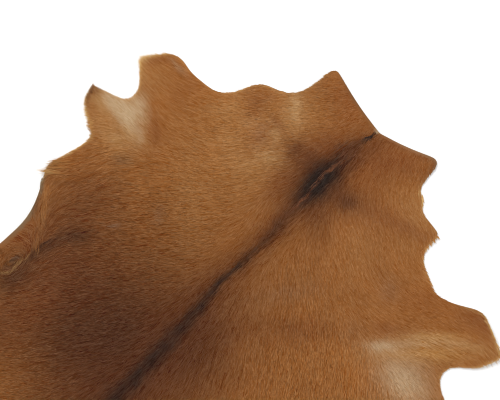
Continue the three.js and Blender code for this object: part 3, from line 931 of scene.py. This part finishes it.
def make_pelt():
    """The tanned skin, a thin sheet with a hair side, a flesh side and a cut rim, and the skin's edge."""
    loop, out = skin_loop()
    flat, faces = skin_plan(loop, out)
    count, total = len(loop), len(flat)
    under = skin_under.at(*flat.T)
    top = np.column_stack([flat, under + SKIN_DEPTH + layered(*flat.T, SKIN_GRAIN)])
    top[:count, 2] = under[:count] + RIM_TOP * SKIN_DEPTH
    base = np.column_stack([flat, under])
    bulge = np.column_stack([loop, under[:count] + RIM_MIDDLE * SKIN_DEPTH])
    points = np.vstack([top, base, bulge])
    rim = np.concatenate([band(count, 0, 2 * total), band(count, 2 * total, total)])
    sides = [faces, faces[:, ::-1] + total, rim]
    materials = [
        undercoat_material(),
        suede_material("flesh_side", linear(206, 190, 166), linear(170, 148, 122), 26),
        suede_material("cut_rim", linear(176, 158, 136), linear(132, 112, 92), 90),
    ]
    pelt = new_object("pelt", points, np.concatenate(sides), materials)
    which = np.repeat(np.arange(len(sides)), [len(side) for side in sides]).astype(np.int32)
    pelt.data.polygons.foreach_set("material_index", which)
    colours = coat_colour(points[:, 0], points[:, 1])
    colours[:count] = RIM_SKIN
    paint(pelt, colours)
    return pelt, loop


# Guide hairs of the coat's small locks, and hairs as they are built: plan points of root, middle and tip,
# then one value for each hair. Guard hairs are coarser and lie on top
Guides = namedtuple("Guides", "root middle tip length swing tone lift rough")
Strands = namedtuple("Strands", "root middle tip lift rough guard colour tip_colour")


def loose_grid(rng, cells, step, border):
    """One place at random in each cell of a grid that begins a border of cells before the skin does."""
    i, j = np.meshgrid(np.arange(cells[0]), np.arange(cells[1]), indexing="ij")
    x = edge_low[0] + (i - border + rng.uniform(0, 1, i.shape)) * step
    y = edge_low[1] + (j - border + rng.uniform(0, 1, j.shape)) * step
    return np.column_stack([x.ravel(), y.ravel()])


def turned(way, angle):
    """Plan directions turned by an angle each."""
    dx, dy = way
    c, s = np.cos(angle), np.sin(angle)
    return np.column_stack([dx * c - dy * s, dx * s + dy * c])


def laid(root, length, swing):
    """Middle and tip of hairs that follow the lie of the coat, each turned out of it by its swing."""
    half = (0.5 * length)[:, None]
    middle = root + half * turned(lie(*root.T), swing)
    return middle, middle + half * turned(lie(*middle.T), swing)


def lock_guides(rng, cells):
    """One guide hair for each cell of a loose grid."""
    root = loose_grid(rng, cells, LOCK_STEP, LOCK_BORDER)
    count = len(root)
    length, rough = coat_kind(*root.T)
    own = shift(LOCK_SWING, rough) * rng.normal(size=count)
    swing = np.radians(own + shift(WAVE_SWING, rough) * layered(*root.T, LOCK_WAVE))
    length *= rng.uniform(*GUIDE_LENGTHS, count)
    tone = shift(LOCK_TONE, rough) * rng.normal(size=count)
    lift = rng.uniform(*GUIDE_LIFTS, count)
    middle, tip = laid(root, length, swing)
    return Guides(root, middle, tip, length, swing, tone, lift, rough)


def nearest_guide(root, guides, cells):
    """Number of the guide hair that is nearest to each root."""
    i, j = np.floor((root - edge_low) / LOCK_STEP).astype(int).T + LOCK_BORDER
    nearest = np.zeros(len(root), int)
    least = np.full(len(root), np.inf)
    for di in (-1, 0, 1):
        for dj in (-1, 0, 1):
            at = (i + di) * cells[1] + j + dj
            gap = ((guides.root[at] - root) ** 2).sum(1)
            closer = gap < least
            least[closer] = gap[closer]
            nearest[closer] = at[closer]
    return nearest


def ended(rng, root, middle, tip):
    """Middle and tip of hairs, with those that run out over the cut edge drawn in to end close to it."""
    count = len(root)
    fringe = most_near(FRINGE, FRINGE_LEAST, *root.T) * rng.exponential(1, count)
    bare = bare_rim(*root.T) - BARE_RIM_LEAST
    past = rng.uniform(*PAST_EDGE, count) + fringe - BARE_DRAWS_BACK * bare
    here = np.maximum(inside_edge.at(*root.T), EDGE_LEAST)
    for _ in range(EDGE_PASSES):
        there = inside_edge.at(*tip.T)
        share = np.where(there < -past, np.clip((here + past) / (here - there), SHORTEST, 1), 1)[:, None]
        tip = root + (tip - root) * share
        middle = root + (middle - root) * share
    return middle, tip


def coat_tints(rng, root, middle, tip, rough, lock_tone):
    """Which of the coat's hairs are guard hairs, and the colours of all, at the middle and at the tip."""
    count = len(root)
    bold = most_near(BOLD, 1.0, *root.T)
    guard = (rng.random(count) < GUARD_SHARE).astype(float)
    spread = bold * shift(OWN_TONE, rough) * (1 + (GUARD_TONE - 1) * guard * rough)
    own_tone = spread * darker(rng.normal(size=count), rough)
    drawn = streak(*middle.T, shift(STREAK_REACH, rough))
    drawn_tone = bold * shift(STREAK_TONE, rough) * darker(drawn, rough)
    stray_x, stray_y = COLOUR_STRAY * rng.normal(size=(2, count))
    run_x, run_y = (tip - root).T
    aside = STREAK_STRAY * (bold - STREAK_CALM) * drawn / (np.hypot(run_x, run_y) + TINY)
    colour = coat_colour(middle[:, 0] + stray_x - aside * run_y, middle[:, 1] + stray_y + aside * run_x)
    colour *= shift(COAT_SHADE, rough)[:, None]
    colour = toned(colour, lock_tone + own_tone + drawn_tone)
    # Tips a little lighter, by a random step that is partly the hair's own tone and partly a painted glint
    tip_colour = toned(colour, TIP_STEP + shift(TIP_TONE, rough) * rng.normal(size=count))
    # Tips past the cut edge turn pale: partly the hair's own pale tips, partly a painted glow of light on
    # the rim
    past = smooth(-inside_edge.at(*tip.T), *PALE_PAST_EDGE)
    mix(tip_colour, STRAW, PALE_PAST_MOST * past)
    return guard, colour, tip_colour


def coat_strands(rng, skin_edge):
    """The coat's hairs, each drawn a little to the guide hair of its small lock."""
    span = edge_high - edge_low
    cells = np.ceil(span / LOCK_STEP).astype(int) + 2 * LOCK_BORDER
    guides = lock_guides(rng, cells)
    root = loose_grid(rng, np.ceil(span / ROOT_STEP).astype(int), ROOT_STEP, 0)
    root = root[edge_distance(skin_edge).at(*root.T) > bare_rim(*root.T)]
    count = len(root)
    lock = nearest_guide(root, guides, cells)
    rough = guides.rough[lock]
    own_length = coat_kind(*root.T)[0] * rng.uniform(*LENGTHS, count)
    length = (1 - LOCK_LENGTH_SHARE) * own_length + LOCK_LENGTH_SHARE * guides.length[lock]
    own_swing = np.radians(shift(OWN_SWING, rough)) * rng.normal(size=count)
    middle, tip = laid(root, length, LOCK_SWING_SHARE * guides.swing[lock] + own_swing)
    gather = (shift(GATHER, rough) * rng.uniform(*GATHERS, count))[:, None]
    middle += MIDDLE_GATHER * gather * (guides.middle[lock] - middle)
    tip += gather * (guides.tip[lock] - tip)
    middle, tip = ended(rng, root, middle, tip)
    guard, colour, tip_colour = coat_tints(rng, root, middle, tip, rough, guides.tone[lock])
    lift = RIM_LIFT + (1 - RIM_LIFT) * smooth(inside_edge.at(*root.T), 0, FULL_LIFT_INSIDE)
    return Strands(root, middle, tip, lift * guides.lift[lock], rough, guard, colour, tip_colour)


def tuft_strands(rng):
    """The tufts at the rim and the bundles of longer hair that are combed over the coat."""
    made = []
    for row_x, row_back, half_length, half_width, angle, fan, length, lift, count, pale in TUFTS:
        count = int(count)
        side = math.copysign(1, row_x)
        turn = np.radians(angle + fan * rng.normal(size=count))
        way = np.column_stack([side * np.sin(turn), -np.cos(turn)])
        lead = np.array([side * math.sin(math.radians(angle)), -math.cos(math.radians(angle))])
        across = np.array([-lead[1], lead[0]])
        along = rng.uniform(-half_length, half_length, count)[:, None] * lead
        aside = rng.normal(size=count)[:, None] * TUFT_SPREAD * half_width * across
        root = np.array([row_x, NOTCH_Y - row_back]) + along + aside
        reach = (length * rng.uniform(*TUFT_LENGTHS, count))[:, None]
        middle = root + 0.5 * reach * way - TUFT_DRAWN_IN[0] * aside
        tip = root + reach * way - TUFT_DRAWN_IN[1] * aside
        colour = toned(coat_colour(*root.T), TUFT_TONE * rng.normal(size=count))
        tip_colour = colour + (STRAW - colour) * pale * rng.uniform(*TUFT_TIP_PALE, count)[:, None]
        colour += (STRAW - colour) * pale * rng.uniform(*TUFT_MIDDLE_PALE, count)[:, None]
        lift = lift * rng.uniform(*TUFT_LIFTS, count)
        made.append(Strands(root, middle, tip, lift, np.ones(count), np.zeros(count), colour, tip_colour))
    return made


def raised(plan, height):
    """Plan points in space, at a height over the skin's hair side."""
    return np.column_stack([plan, skin_under.at(*plan.T) + SKIN_DEPTH + height])


def make_hair(skin_edge):
    """Every strand as a thin kite from its root to its tip: points and colours, from the neck back."""
    rng = np.random.default_rng(SEED)
    groups = [coat_strands(rng, skin_edge), *tuft_strands(rng)]
    root, middle, tip, lift, rough, guard, colour, tip_colour = map(np.concatenate, zip(*groups))
    count = len(root)
    stray = rng.random(count) < STRAY_SHARE
    mid_lift = lift * (LEAST_LIFT + shift(LIFT_SPREAD, rough) * np.maximum(rng.random(count), guard))
    tip_lift = mid_lift * rng.uniform(*TIP_LIFTS, count) + rough * rng.uniform(0, TIP_RISE, count)
    tip_lift += np.where(stray, STRAY_RISE * rough, 0)
    run = tip - root
    size = np.linalg.norm(run, axis=1) + TINY
    roll = rng.normal(size=count) * np.radians(shift(ROLL, rough))
    level = np.cos(roll)
    side = np.column_stack([-run[:, 1] / size * level, run[:, 0] / size * level, np.sin(roll)])
    wide = STRAND_WIDTH * rng.uniform(*WIDTHS, count) * np.clip(size / FULL_WIDTH_LENGTH, LEAST_WIDTH, 1)
    wide *= shift(WIDTH_SHARE, rough) * (1 + (GUARD_WIDTH - 1) * guard)
    half = (0.5 * wide)[:, None] * side
    start, centre, end = raised(root, -ROOT_SINK), raised(middle, mid_lift), raised(tip, tip_lift)
    points = np.stack([start, centre - half, centre + half, end], axis=1)
    # Roots are darker: partly their own colour, partly painted shade among the hairs
    root_colour = shift(ROOT_SHADE, rough)[:, None] * colour
    tints = np.stack([root_colour, colour, colour, tip_colour], axis=1)
    order = np.argsort(-root[:, 1], kind="stable")
    return points[order], tints[order]


def hair_objects(points, tints, material):
    """The strands as a few joined meshes, in bands from the neck to the rump."""
    made = []
    bands = np.array_split(np.arange(len(points)), len(HAIR_PIECES))
    for name, strands in zip(HAIR_PIECES, bands):
        first = 4 * np.arange(len(strands))[:, None]
        faces = np.concatenate([first + np.array([[0, 1, 2]]), first + np.array([[1, 3, 2]])])
        obj = new_object(name, points[strands].reshape(-1, 3), faces, [material])
        paint(obj, tints[strands].reshape(-1, 3))
        made.append(obj)
    return made


def make_floor():
    """A wide white floor just under the skin."""
    mesh = bpy.data.meshes.new("floor")
    corners = [(-1, -1), (1, -1), (1, 1), (-1, 1)]
    points = [(x * FLOOR_HALF, y * FLOOR_HALF, -FLOOR_BELOW) for x, y in corners]
    mesh.from_pydata(points, [], [(0, 1, 2, 3)])
    material, _, surface = shader("floor_white")
    white = (FLOOR_WHITE, FLOOR_WHITE, FLOOR_WHITE, 1)
    set_inputs(surface, {"Base Color": white, "Roughness": 0.9, "Specular IOR Level": 0.0})
    mesh.materials.append(material)
    floor = add("floor", mesh)


def make_camera():
    """Straight down on the neck end, with the spine running up to the right. Gives the place looked at."""
    right = np.array([math.cos(SPINE_ROLL), math.sin(SPINE_ROLL)])
    down = np.array([math.sin(SPINE_ROLL), -math.cos(SPINE_ROLL)])
    centre = (IMAGE_WIDTH / 2 - NOTCH_PX[0]) * right + (IMAGE_HEIGHT / 2 - NOTCH_PX[1]) * down
    centre = centre * MM_PER_PX * MM + np.array([0, NOTCH_Y * MM])
    data = bpy.data.cameras.new("camera")
    data.sensor_width = SENSOR
    data.lens = SENSOR * CAMERA_HEIGHT / (IMAGE_WIDTH * MM_PER_PX * MM)
    scene.camera = add("camera", data)
    scene.camera.location = (*centre, CAMERA_HEIGHT)
    scene.camera.rotation_euler = (0, 0, SPINE_ROLL)
    return Vector((*centre, 0))


def make_lights(aim):
    """A bright even room and one large soft light from the photo's upper left, in plain screen colours."""
    world = bpy.data.worlds.new("studio")
    world.use_nodes = True
    room = world.node_tree.nodes["Background"]
    set_inputs(room, {"Color": (1, 1, 1, 1), "Strength": ROOM_STRENGTH})
    scene.world = world
    data = bpy.data.lights.new("key", "AREA")
    data.shape = "DISK"
    data.size = KEY_SIZE
    data.energy = KEY_POWER
    key = add("key", data)
    turn = SPINE_ROLL + KEY_BEARING
    key.location = aim + Vector((KEY_ASIDE * math.cos(turn), KEY_ASIDE * math.sin(turn), KEY_HEIGHT))
    key.rotation_euler = (aim - key.location).to_track_quat("-Z", "Y").to_euler()
    key.visible_camera = False
    scene.cycles.filter_width = PIXEL_FILTER
    scene.view_settings.view_transform = "Standard"
    scene.view_settings.look = "None"


make_lights(make_camera())
make_floor()

pelt, skin_edge = make_pelt()
hairs = hair_objects(*make_hair(skin_edge), hair_material())
for piece in [pelt, *hairs]:
    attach(piece, "root")
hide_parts(PELT_NODE)
